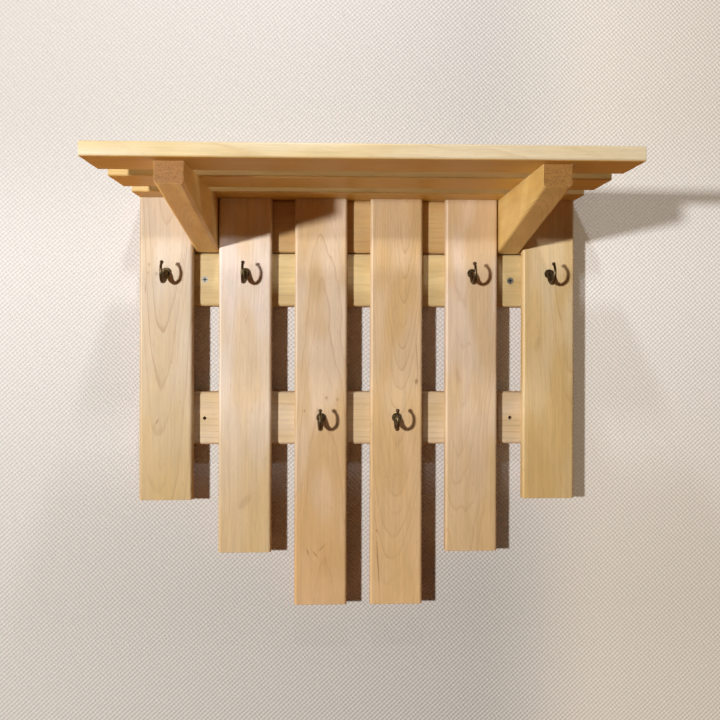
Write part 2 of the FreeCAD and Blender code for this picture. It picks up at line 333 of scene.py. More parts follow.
class Effects:
    """The shader groups that the finishes share, each built once. They work in millimetres."""

    def __init__(self) -> None:
        """Builds every group."""
        self.rings = self.growth_rings()
        self.fibre = self.wood_fibre()
        self.end_grain = self.sawn_end()
        self.knot = self.pin_knot()
        self.rub = self.edge_rub()
        self.dust = self.settled_dust()
        self.cast = self.cast_skin()

    @staticmethod
    def growth_rings() -> NodeTree:
        """Rings round a leaning pith, cut by the board: arches on its face and lines on its edges.

        Returns:
            The group.
        """
        takes = {
            "Position": "Vector", "Pith Across": 0.0, "Pith Depth": 30.0, "Lean Across": 0.0, "Lean Depth": -0.06,
            "Spacing": 4.0, "Wave": 3.0, "Seed": 0.0,
        }
        tree = TreeBuilder.group("Growth rings", TreeKind.MASKS, takes, ["Line", "Band"])
        seed = tree["Seed"]
        across, through, along = tree.parts(tree["Position"])
        slow = tree.joined(tree.plus(across, tree.times(seed, 37.0)), through, tree.times(along, 0.3))
        sway = tree.minus(tree.noise(slow, 0.024, 1.0), 0.5)
        quick = tree.minus(tree.noise(slow, 0.11, 2.0), 0.5)
        wander = tree.times(tree.weighted(sway, 2.4, quick, 0.42), tree["Wave"])
        beside = tree.minus(across, tree["Pith Across"])
        beside = tree.minus(beside, tree.times(along, tree["Lean Across"]))
        below = tree.minus(through, tree["Pith Depth"])
        below = tree.minus(below, tree.times(along, tree["Lean Depth"]))
        count = tree.over(tree.plus(tree.reach(beside, below), wander), tree["Spacing"])
        part = tree.math("FRACT", count)
        number = tree.plus(tree.math("FLOOR", count), tree.times(seed, 7.3))
        strength = tree.add("ShaderNodeTexWhiteNoise", {"W": number}, noise_dimensions="1D")
        rise = tree.span(part, 0.72, 0.95)
        line = tree.times(rise, rise, tree.span(part, 0.96, 1.0, 1.0, 0.0))
        faded = tree.span(tree.noise(slow, 0.05, 2.0), 0.32, 0.62, 0.3, 1.0)
        line = tree.times(line, tree.times(tree.ramp(strength, 0.0, 1.0, 0.1, 1.0), faded))
        return tree.closed({"Line": line, "Band": tree.times(part, strength)})

    @staticmethod
    def wood_fibre() -> NodeTree:
        """Fine fibre, short pores and slow patches of colour along the grain.

        Returns:
            The group.
        """
        takes = {"Position": "Vector", "Seed": 0.0}
        tree = TreeBuilder.group("Wood fibre", TreeKind.MASKS, takes, ["Fibre", "Pores", "Patch", "Cloud"])
        across, through, along = tree.parts(tree["Position"])
        beside = tree.plus(across, tree.times(tree["Seed"], 53.0))
        stretches = (0.022, 0.1, 0.3)
        long_way, short_way, slow_way = [tree.joined(beside, through, tree.times(along, s)) for s in stretches]
        return tree.closed({
            "Fibre": tree.weighted(tree.noise(long_way, 1.7, 3.0, 0.62), 0.6, tree.noise(long_way, 0.32, 2.0), 0.4),
            "Pores": tree.span(tree.noise(short_way, 0.95, 1.0), 0.685, 0.76),
            "Patch": tree.span(tree.noise(slow_way, 0.03, 1.0), 0.36, 0.64),
            "Cloud": tree.noise(slow_way, 0.085, 3.0, 0.6),
        })

    @staticmethod
    def sawn_end() -> NodeTree:
        """Speckle of a sawn end, and a mask of where the board's ends are.

        Returns:
            The group.
        """
        takes = {"Position": "Vector", "Facing": 0.0, "Seed": 0.0}
        tree = TreeBuilder.group("Sawn end", TreeKind.MASKS, takes, ["End", "Speckle"])
        place = tree.seeded(tree["Position"])
        both = tree.weighted(tree.noise(place, 1.1, 3.0, 0.7), 0.65, tree.noise(place, 3.0, 2.0, 0.6), 0.35)
        end = tree.span(tree.math("ABSOLUTE", tree["Facing"]), 0.72, 0.9)
        return tree.closed({"End": end, "Speckle": tree.span(both, 0.48, 0.62)})

    @staticmethod
    def pin_knot() -> NodeTree:
        """One small knot or mark on a board's face, longer along the grain.

        Returns:
            The group.
        """
        takes = {
            "Position": "Vector", "Across": 0.0, "Along": 0.0, "Half Width": 1.5, "Half Length": 2.5, "Slant": 0.0,
        }
        tree = TreeBuilder.group("Pin knot", TreeKind.MASKS, takes, ["Core", "Halo"])
        across, _, along = tree.parts(tree["Position"])
        up = tree.minus(along, tree["Along"])
        beside = tree.minus(tree.minus(across, tree["Across"]), tree.times(up, tree["Slant"]))
        ragged = tree.minus(tree.noise(tree["Position"], 0.8, 2.0), 0.5)
        reach = tree.reach(tree.over(beside, tree["Half Width"]), tree.over(up, tree["Half Length"]))
        reach = tree.plus(reach, tree.times(ragged, 0.9))
        return tree.closed({
            "Core": tree.span(reach, 0.55, 1.15, 1.0, 0.0),
            "Halo": tree.span(reach, 0.9, 3.2, 1.0, 0.0),
        })

    @staticmethod
    def edge_rub() -> NodeTree:
        """Uneven rubbing along a board's long edges.

        Returns:
            The group.
        """
        takes = {"Position": "Vector", "Half Size": "Vector", "Reach": 3.0, "Seed": 0.0}
        tree = TreeBuilder.group("Edge rub", TreeKind.MASKS, takes, ["Rub"])
        place = tree["Position"]
        spread = tree.vector("ABSOLUTE", place, (0.0, 0.0, 0.0))
        across, through, _ = tree.parts(tree.vector("SUBTRACT", tree["Half Size"], spread))
        mask = tree.span(tree.math("MAXIMUM", across, through), 0.0, tree["Reach"], 1.0, 0.0)
        worn = tree.span(tree.noise(tree.seeded(place), 0.06, 3.0), 0.35, 0.68)
        return tree.closed({"Rub": tree.times(mask, worn)})

    @staticmethod
    def settled_dust() -> NodeTree:
        """Thin dust on what faces upwards.

        Returns:
            The group.
        """
        takes = {"Position": "Vector", "Upward": 0.0, "Amount": 0.3}
        tree = TreeBuilder.group("Settled dust", TreeKind.MASKS, takes, ["Dust"])
        lying = tree.span(tree["Upward"], 0.55, 0.95)
        drift = tree.span(tree.noise(tree["Position"], 0.05, 4.0, 0.65), 0.3, 0.75)
        return tree.closed({"Dust": tree.times(lying, drift, tree["Amount"])})

    @staticmethod
    def cast_skin() -> NodeTree:
        """Cloudy tarnish, fine grain and small scratches of a metal surface.

        Returns:
            The group.
        """
        takes = {"Position": "Vector", "Grain Size": 1.0}
        tree = TreeBuilder.group("Cast skin", TreeKind.MASKS, takes, ["Tarnish", "Grain", "Scratch"])
        place = tree["Position"]
        streaks = tree.vector("MULTIPLY", place, (0.25, 2.5, 2.5))
        return tree.closed({
            "Tarnish": tree.span(tree.noise(place, 0.35, 3.0, 0.6), 0.34, 0.66),
            "Grain": tree.noise(place, tree.over(3.2, tree["Grain Size"]), 3.0, 0.6),
            "Scratch": tree.span(tree.noise(streaks, 1.6, 1.0), 0.62, 0.74),
        })


class Grain(Enum):
    """Which way a board's grain runs, as the turn that brings it upright and the number of its axis."""

    UPRIGHT = ((0.0, 0.0, 0.0), 2)
    LEVEL = ((0.0, -QUARTER_TURN, 0.0), 0)
    OUTWARD = ((QUARTER_TURN, 0.0, 0.0), 1)


@dataclass(frozen=True)
class Knot:
    """A small knot or mark: its place and half sizes in millimetres, its slant, and how dark it is."""

    across: float
    along: float
    half_width: float
    half_length: float
    slant: float
    depth: float


@dataclass(frozen=True)
class BoardGrain:
    """How one board was cut from its log, in millimetres, and the marks on it."""

    pith_across: float
    pith_depth: float
    lean_across: float
    lean_depth: float
    spacing: float
    wave: float
    seed: float
    knots: tuple[Knot, ...] = ()


@dataclass(frozen=True)
class WoodFinish:
    """Colours and sheen of planed pale wood with a thin clear finish.

    Foot and head are painted shade near a slat's ends: darker and yellower at the lower end, where the light is
    weaker, and darker at the top, where the shelf shades it. Faces that look down or forward get painted shade as
    well. The head's painted shade fades out over head_edge, in millimetres below the top end.
    """

    pale: Colour
    warm: Colour
    line: Colour
    end: Colour
    line_share: float
    # Painted shade towards a slat's lower end, darker and yellower where the light is weaker.
    foot: Colour = tone(210, 172, 122)
    foot_share: float = 0.0
    # Painted shade at the top of a slat, below the shelf.
    head: Colour = tone(176, 148, 108)
    head_share: float = 0.0
    head_edge: tuple[float, float] = (45.0, 75.0)
    under: Colour = tone(216, 175, 72)
    under_share: float = 0.0
    front_share: float = 0.0
    fibre_shades: tuple[float, float] = (0.87, 1.1)
    cloud_shades: tuple[float, float] = (0.955, 1.035)
    band_depth: float = 0.16
    pore_share: float = 0.3
    rub_share: float = 0.4
    halo_share: float = 0.22
    sawn_line_share: float = 0.35
    roughness: tuple[float, float] = (0.45, 0.59)
    end_roughness: float = 0.2
    dust_roughness: float = 0.3
    relief: float = 0.12 * MM
    speckle: Colour = tone(116, 72, 34)
    knot: Colour = tone(104, 62, 32)
    rubbed: Colour = tone(232, 208, 170)
    dust: Colour = tone(205, 198, 188)
    dust_amount: float = 0.25
    sheen_level: float = 0.4
    coat: float = 0.3
    coat_roughness: float = 0.36

    def material(
        self, name: str, effects: Effects, grain: Grain, cut: BoardGrain, low: Vector, high: Vector
    ) -> Material:
        """Builds the material of one board.

        Args:
            name: Name of the material.
            effects: The shared shader groups.
            grain: Which way the board's grain runs.
            cut: How the board was cut.
            low: Lowest corner of the board, in metres.
            high: Highest corner of the board.

        Returns:
            The material.
        """
        made, tree, place = empty_material(name)
        upright, axis = grain.value
        turn = Matrix.Rotation(upright[1], 3, "Y") @ Matrix.Rotation(upright[0], 3, "X")
        centre = turn @ ((low + high) / 2)
        half = tuple(abs(part) / MM for part in turn @ ((high - low) / 2))
        board = tree.add("ShaderNodeMapping", {
            "Vector": place["Object"], "Location": tuple(-centre / MM), "Rotation": upright, "Scale": IN_MM,
        })
        normal = tree.parts(place["Normal"])
        shared = {"Position": board, "Seed": cut.seed}
        rings = tree.placed(effects.rings, {**spelled(cut), **shared})
        fibre = tree.placed(effects.fibre, shared)
        end = tree.placed(effects.end_grain, {**shared, "Facing": normal[axis]})
        rub = tree.placed(effects.rub, {**shared, "Half Size": half})["Rub"]
        dust = tree.placed(effects.dust, {**shared, "Upward": normal[2], "Amount": self.dust_amount})["Dust"]
        colour = tree.blend(fibre["Patch"], self.pale, self.warm)
        height, top = tree.parts(board)[2], half[2]
        # Painted shade: darker tints on faces that look down or forward, towards the lower end, and at the top below
        # the shelf.
        for share, value, full, none, tint in (
            (self.under_share, normal[2], -0.9, -0.5, self.under),
            (self.front_share, normal[1], -0.9, -0.5, self.under),
            (self.foot_share, height, -top, 0.5 * top, self.foot),
            (self.head_share, height, top - self.head_edge[0], top - self.head_edge[1], self.head),
        ):
            if share:
                colour = tree.blend(tree.span(value, full, none, share, 0.0), colour, tint)
        shade = tree.times(
            tree.ramp(fibre["Fibre"], 0.3, 0.7, *self.fibre_shades),
            tree.ramp(fibre["Cloud"], 0.3, 0.7, *self.cloud_shades),
            tree.ramp(rings["Band"], 0.0, 1.0, 1.0, 1.0 - self.band_depth * self.line_share),
        )
        colour = tree.blend(tree.times(rings["Line"], self.line_share), tree.scaled(colour, shade), self.line)
        colour = tree.blend(tree.times(fibre["Pores"], self.pore_share), colour, self.line)
        for knot in cut.knots:
            mark = tree.placed(effects.knot, {**spelled(knot), "Position": board})
            colour = tree.blend(tree.times(mark["Halo"], self.halo_share * knot.depth), colour, self.line)
            colour = tree.blend(tree.times(mark["Core"], knot.depth), colour, self.knot)
        sawn = tree.blend(end["Speckle"], self.end, self.speckle)
        sawn = tree.blend(tree.times(rings["Line"], self.sawn_line_share), sawn, self.speckle)
        colour = tree.blend(end["End"], colour, sawn)
        colour = tree.blend(tree.times(rub, self.rub_share), colour, self.rubbed)
        colour = tree.blend(dust, colour, self.dust)
        rough = tree.ramp(fibre["Fibre"], 0.2, 0.8, *self.roughness)
        rough = tree.plus(rough, tree.times(end["End"], self.end_roughness))
        rough = tree.math("ADD", rough, tree.times(dust, self.dust_roughness), clamp=True)
        grooves = tree.minus(tree.times(fibre["Fibre"], 0.5), tree.times(rings["Line"], 0.35))
        grooves = tree.minus(grooves, tree.times(fibre["Pores"], 0.5))
        grooves = tree.minus(grooves, tree.times(end["Speckle"], end["End"]))
        wood = tree.add("ShaderNodeBsdfPrincipled", {
            "Base Color": colour,
            "Roughness": rough,
            "Normal": tree.add("ShaderNodeBump", {"Height": grooves, "Strength": 0.5, "Distance": self.relief}),
            "Specular IOR Level": self.sheen_level,
            "Coat Weight": self.coat,
            "Coat Roughness": self.coat_roughness,
        })
        tree.add("ShaderNodeOutputMaterial", {"Surface": wood})
        return made


@dataclass(frozen=True)
class MetalFinish:
    """Colours and gloss of a metal with a thin tarnish, and painted shade in the recess of a screw."""

    name: str
    bright: Colour
    dull: Colour
    roughness: tuple[float, float]
    tarnish_share: float
    grain_size: float
    relief: float
    tarnish_roughness: float = 0.14
    dust_roughness: float = 0.4
    scratch_share: float = 0.3
    # Painted shade in a screw's recess.
    recess_share: float = 0.9
    recess: Colour = tone(38, 36, 34)
    dust: Colour = tone(150, 140, 125)
    dust_amount: float = 0.12

    def material(self, effects: Effects) -> Material:
        """Builds the metal's material.

        Args:
            effects: The shared shader groups.

        Returns:
            The material.
        """
        made, tree, place = empty_material(self.name)
        position = tree.add("ShaderNodeMapping", {"Vector": place["Object"], "Scale": IN_MM})
        upward = tree.parts(place["Normal"])[2]
        skin = tree.placed(effects.cast, {"Position": position, "Grain Size": self.grain_size})
        dust = tree.placed(effects.dust, {"Position": position, "Upward": upward, "Amount": self.dust_amount})["Dust"]
        tarnish = tree.times(skin["Tarnish"], self.tarnish_share)
        colour = tree.blend(tarnish, self.bright, self.dull)
        colour = tree.blend(tree.times(skin["Scratch"], self.scratch_share), colour, self.bright)
        colour = tree.blend(dust, colour, self.dust)
        # Painted shade: the marked recess is darkened.
        recess = tree.add("ShaderNodeAttribute", attribute_name="recess").outputs["Fac"]
        colour = tree.blend(tree.times(recess, self.recess_share), colour, self.recess)
        rough = tree.ramp(skin["Grain"], 0.3, 0.7, *self.roughness)
        rough = tree.plus(rough, tree.times(tarnish, self.tarnish_roughness))
        rough = tree.math("ADD", rough, tree.times(dust, self.dust_roughness), clamp=True)
        bump = tree.add("ShaderNodeBump", {"Height": skin["Grain"], "Strength": 0.5, "Distance": self.relief})
        metal = tree.add("ShaderNodeBsdfPrincipled", {
            "Base Color": colour, "Roughness": rough, "Normal": bump, "Metallic": 1.0,
        })
        tree.add("ShaderNodeOutputMaterial", {"Surface": metal})
        return made


def grown(
    name: str,
    tree: NodeTree,
    values: dict[str, Any],
    finish: Material,
    start: Mesh | None = None,
    finishing: Sequence[tuple[str, dict[str, Any]]] = (),
) -> Object:
    """Runs a geometry tree and keeps its result as a plain mesh.

    Args:
        name: Name of the piece.
        tree: The geometry tree.
        values: Values of its named inputs. A name that it doesn't have is passed over.
        finish: Material of the piece.
        start: Mesh that the tree starts from, if it needs one.
        finishing: Type and settings of the modifiers that follow the tree.

    Returns:
        The piece, at the origin and with no modifier.
    """
    base = start or bpy.data.meshes.new(name + " start")
    maker = bpy.data.objects.new(name + " maker", base)
    bpy.context.scene.collection.objects.link(maker)
    modifier = maker.modifiers.new("Shape", "NODES")
    modifier.node_group = tree
    given = {**values, "Finish": finish}
    for item in tree.interface.items_tree:
        if item.in_out == "INPUT" and item.name in given:
            modifier[item.identifier] = given[item.name]
    for kind, settings in finishing:
        extra = maker.modifiers.new(kind, kind)
        for key, value in settings.items():
            setattr(extra, key, value)
    bpy.context.view_layer.update()
    graph = bpy.context.evaluated_depsgraph_get()
    mesh = bpy.data.meshes.new_from_object(maker.evaluated_get(graph), preserve_all_data_layers=True, depsgraph=graph)
    mesh.name = name
    mesh.materials.clear()
    mesh.materials.append(finish)
    bpy.data.objects.remove(maker)
    piece = bpy.data.objects.new(name, mesh)
    bpy.context.scene.collection.objects.link(piece)
    log.info("%s: %d faces", name, len(mesh.polygons))
    return piece


def stands_for(piece: Object, slot: str, *nodes: str) -> None:
    """Lets a piece ride on the rack and stand for its nodes.

    Args:
        piece: The finished piece.
        slot: Name of its material slot; not used.
        nodes: The nodes that it replaces.
    """
    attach(piece, BODY)
    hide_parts(*nodes)


@dataclass
class SlatRow:
    """The six upright slats, planed and rounded along their edges, longer towards the middle."""

    effects: Effects
    edge_radius: float = 4.0 * MM
    end_easing: float = 0.6 * MM
    edge_steps: int = 6
    stations: int = 64
    wobble: float = 0.12 * MM
    first_seed: int = 11

    @staticmethod
    def tree() -> NodeTree:
        """Geometry tree of a slat: a rounded section swept up its length, with a hand-planed face.

        Returns:
            The tree.
        """
        takes = {
            "Foot": "Vector", "Width": 0.07, "Thickness": 0.014, "Length": 0.4, "Edge Radius": 0.004, "Edge Steps": 6,
            "Stations": 64, "Wobble": 0.0001, "Seed": 0.0, "Finish": "Material",
        }
        tree = TreeBuilder.group("Planed slat", TreeKind.SHAPE, takes, ["Geometry"])
        sides = {"Width": tree["Width"], "Height": tree["Thickness"]}
        section = tree.add("GeometryNodeCurvePrimitiveQuadrilateral", sides)
        edges = {"Curve": section, "Radius": tree["Edge Radius"], "Count": tree["Edge Steps"]}
        rounded = tree.add("GeometryNodeFilletCurve", edges, mode="POLY")
        top = tree.joined(0.0, 0.0, tree["Length"])
        line = tree.add("GeometryNodeCurvePrimitiveLine", {"Start": (0.0, 0.0, 0.0), "End": top})
        path = tree.add("GeometryNodeResampleCurve", {"Curve": line, "Count": tree["Stations"]})
        swept = tree.add("GeometryNodeCurveToMesh", {"Curve": path, "Profile Curve": rounded, "Fill Caps": True})
        position = tree.add("GeometryNodeInputPosition")
        normal = tree.add("GeometryNodeInputNormal")
        stretched = tree.vector("MULTIPLY", tree.seeded(position), (1.0, 1.0, 0.35))
        hollow = tree.times(tree.noise(stretched, 24.0, 1.0), tree["Wobble"])
        sideways = tree.minus(1.0, tree.math("ABSOLUTE", tree.parts(normal)[2]))
        offset = tree.scaled(normal, tree.times(hollow, sideways, -1.0))
        planed = tree.add("GeometryNodeSetPosition", {"Geometry": swept, "Offset": offset})
        standing = tree.moved(planed, tree["Foot"])
        return tree.dressed(tree.add("GeometryNodeSetShadeSmooth", {"Geometry": standing}))

    @staticmethod
    def looks() -> list[tuple[WoodFinish, BoardGrain]]:
        """Finish and cut of each slat.

        Returns:
            One pair for each slat, from the left.
        """
        light_end, end, yellow_end = tone(190, 148, 106), tone(186, 144, 102), tone(186, 144, 96)
        return [
            (
                WoodFinish(
                    tone(222, 205, 185), tone(218, 195, 163), tone(165, 118, 76), light_end, 0.45,
                    tone(202, 170, 108), 0.8, head_share=0.35,
                ),
                BoardGrain(-4.5, 27.3, 0.032, -0.062, 4.19, 3.0, 1.0, (
                    Knot(-22.0, 111.0, 1.7, 2.4, 0.0, 0.35),
                    Knot(-12.5, 99.0, 1.5, 2.2, 0.0, 0.4),
                    Knot(-23.5, 100.0, 1.2, 1.8, 0.0, 0.3),
                    Knot(-27.0, 80.0, 0.6, 8.0, 0.0, 0.45),
                    Knot(-11.0, -96.0, 0.7, 3.4, 0.55, 0.7),
                )),
            ),
            (
                WoodFinish(
                    tone(235, 220, 208), tone(227, 203, 174), tone(185, 128, 83), light_end, 0.26,
                    tone(207, 175, 118), 0.8,
                ),
                BoardGrain(-58.0, 24.0, 0.02, -0.02, 4.4, 4.0, 2.0, (
                    Knot(0.0, -168.0, 7.0, 11.0, 0.6, 0.16),
                    Knot(1.5, 72.0, 0.8, 4.0, 0.2, 0.25),
                )),
            ),
            (
                WoodFinish(
                    tone(225, 202, 175), tone(213, 182, 139), tone(171, 115, 71), end, 0.4,
                    tone(213, 167, 106), 0.7,
                ),
                BoardGrain(5.0, 44.3, 0.0, 0.055, 3.9, 4.0, 3.0, (
                    Knot(7.5, 5.0, 1.8, 2.2, 0.0, 0.4),
                    Knot(22.0, 2.5, 1.4, 1.8, 0.0, 0.4),
                    Knot(-21.5, -12.5, 1.3, 1.5, 0.0, 0.4),
                    Knot(-17.0, -200.0, 0.7, 5.0, -0.3, 0.6),
                    Knot(-7.0, -203.0, 0.7, 4.0, -0.8, 0.6),
                    Knot(2.0, -194.0, 0.7, 5.0, 0.9, 0.5),
                )),
            ),
            (
                WoodFinish(
                    tone(225, 195, 156), tone(217, 182, 132), tone(164, 110, 65), end, 0.42,
                    tone(224, 184, 131), 0.7, head_share=0.42,
                ),
                BoardGrain(3.5, 24.7, 0.04, -0.097, 3.1, 2.6, 4.0, (
                    Knot(26.8, 27.0, 2.2, 3.8, 0.0, 0.5),
                    Knot(27.5, 58.0, 0.6, 26.0, -0.04, 0.35),
                    Knot(-25.5, -172.0, 1.0, 1.6, 0.0, 0.5),
                    Knot(-24.0, -215.0, 0.8, 36.0, -0.06, 0.5),
                )),
            ),
            (
                WoodFinish(
                    tone(233, 210, 187), tone(221, 192, 154), tone(179, 126, 83), end, 0.34,
                    tone(220, 183, 127), 0.7, head_share=0.42,
                ),
                BoardGrain(-12.0, 33.0, 0.01, -0.05, 3.2, 4.0, 5.0, (
                    Knot(-18.0, -1.0, 3.0, 12.0, -0.2, 0.14),
                    Knot(-2.0, 42.0, 0.8, 2.6, -0.3, 0.25),
                )),
            ),
            (
                WoodFinish(
                    tone(234, 209, 165), tone(226, 194, 138), tone(184, 128, 71), yellow_end, 0.32,
                    tone(213, 176, 110), 0.6,
                ),
                BoardGrain(30.0, 52.0, 0.02, -0.03, 2.6, 3.0, 6.0, (Knot(-15.0, 7.0, 4.0, 12.0, 0.2, 0.12),)),
            ),
        ]

    def build(self) -> None:
        """Builds and dresses every slat."""
        tree = self.tree()
        finishing = [
            ("BEVEL", {
                "width": self.end_easing, "segments": 3, "limit_method": "ANGLE", "angle_limit": math.radians(50),
            }),
            ("WEIGHTED_NORMAL", {"keep_sharp": True, "weight": 60}),
        ]
        for index, (finish, cut) in enumerate(self.looks()):
            node = "slat_%d" % (index + 1)
            low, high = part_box(node)
            size = high - low
            wood = finish.material("Slat wood %d" % (index + 1), self.effects, Grain.UPRIGHT, cut, low, high)
            values = {
                **spelled(self),
                "Foot": Vector((middle(node, 0), middle(node, 1), low.z)),
                "Width": size.x,
                "Thickness": size.y,
                "Length": size.z,
                "Seed": float(self.first_seed + index),
            }
            piece = grown("planed_slat_%d" % (index + 1), tree, values, wood, None, finishing)
            stands_for(piece, "slat_wood", node)


@dataclass
class Carcass:
    """Rails, shelf boards and brackets: they keep their solids and get their own wood."""

    effects: Effects

    @staticmethod
    def boards() -> dict[str, tuple[Grain, WoodFinish, BoardGrain]]:
        """Looks of the boards that keep their solids.

        Returns:
            Grain, finish and cut of each board, by the name of its node.
        """
        rail_end = tone(178, 136, 94)
        shelf_line = tone(190, 150, 98)
        # Painted shade on the inner boards' undersides and front edges, which lie in the shade of the board in front.
        inner_shelf = WoodFinish(
            tone(224, 201, 157), tone(214, 187, 139), shelf_line, tone(189, 151, 106), 0.3,
            under_share=0.9, front_share=0.5,
        )
        return {
            "top_rail": (
                Grain.LEVEL,
                WoodFinish(tone(199, 166, 114), tone(192, 154, 100), tone(148, 108, 64), rail_end, 0.3),
                BoardGrain(60.0, 30.0, 0.01, -0.01, 5.0, 4.0, 11.0),
            ),
            "middle_rail": (
                Grain.LEVEL,
                WoodFinish(tone(214, 191, 140), tone(202, 176, 125), tone(164, 123, 73), rail_end, 0.3),
                BoardGrain(-30.0, 40.0, 0.01, 0.02, 5.5, 4.0, 12.0),
            ),
            "lower_rail": (
                Grain.LEVEL,
                WoodFinish(tone(218, 195, 164), tone(209, 183, 142), tone(145, 104, 72), rail_end, 0.42),
                BoardGrain(70.0, 16.0, 0.004, 0.0, 7.2, 3.0, 13.0),
            ),
            "shelf_board_back": (Grain.LEVEL, inner_shelf, BoardGrain(10.0, 40.0, 0.0, 0.03, 3.8, 3.0, 14.0)),
            "shelf_board_middle": (Grain.LEVEL, inner_shelf, BoardGrain(-12.0, 36.0, 0.0, -0.03, 3.4, 3.0, 15.0)),
            # The front board's underside gets painted shade.
            "shelf_board_front": (
                Grain.LEVEL,
                WoodFinish(
                    tone(234, 215, 179), tone(227, 203, 153), shelf_line, tone(193, 155, 108), 0.34, under_share=0.9
                ),
                BoardGrain(6.0, 38.0, 0.006, 0.024, 3.0, 2.4, 16.0),
            ),
            "bracket_left": (
                Grain.OUTWARD,
                WoodFinish(tone(242, 206, 133), tone(227, 186, 114), tone(174, 132, 76), tone(176, 126, 68), 0.4),
                BoardGrain(8.0, 26.0, 0.03, 0.04, 3.0, 2.0, 17.0),
            ),
            "bracket_right": (
                Grain.OUTWARD,
                WoodFinish(tone(228, 195, 123), tone(218, 182, 109), tone(159, 123, 68), tone(179, 132, 68), 0.4),
                BoardGrain(-10.0, 30.0, -0.03, 0.04, 3.2, 2.0, 18.0),
            ),
        }

    def build(self) -> None:
        """Dresses every board's own solid."""
        for node, (grain, finish, cut) in self.boards().items():
            low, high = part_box(node)
            label = node.replace("_", " ").capitalize() + " wood"
            wood = finish.material(label, self.effects, grain, cut, low, high)
            for slot in frame["nodes"][node].material_slots:
                slot.material = wood
            log.info("%s: dressed in %s", node, label)


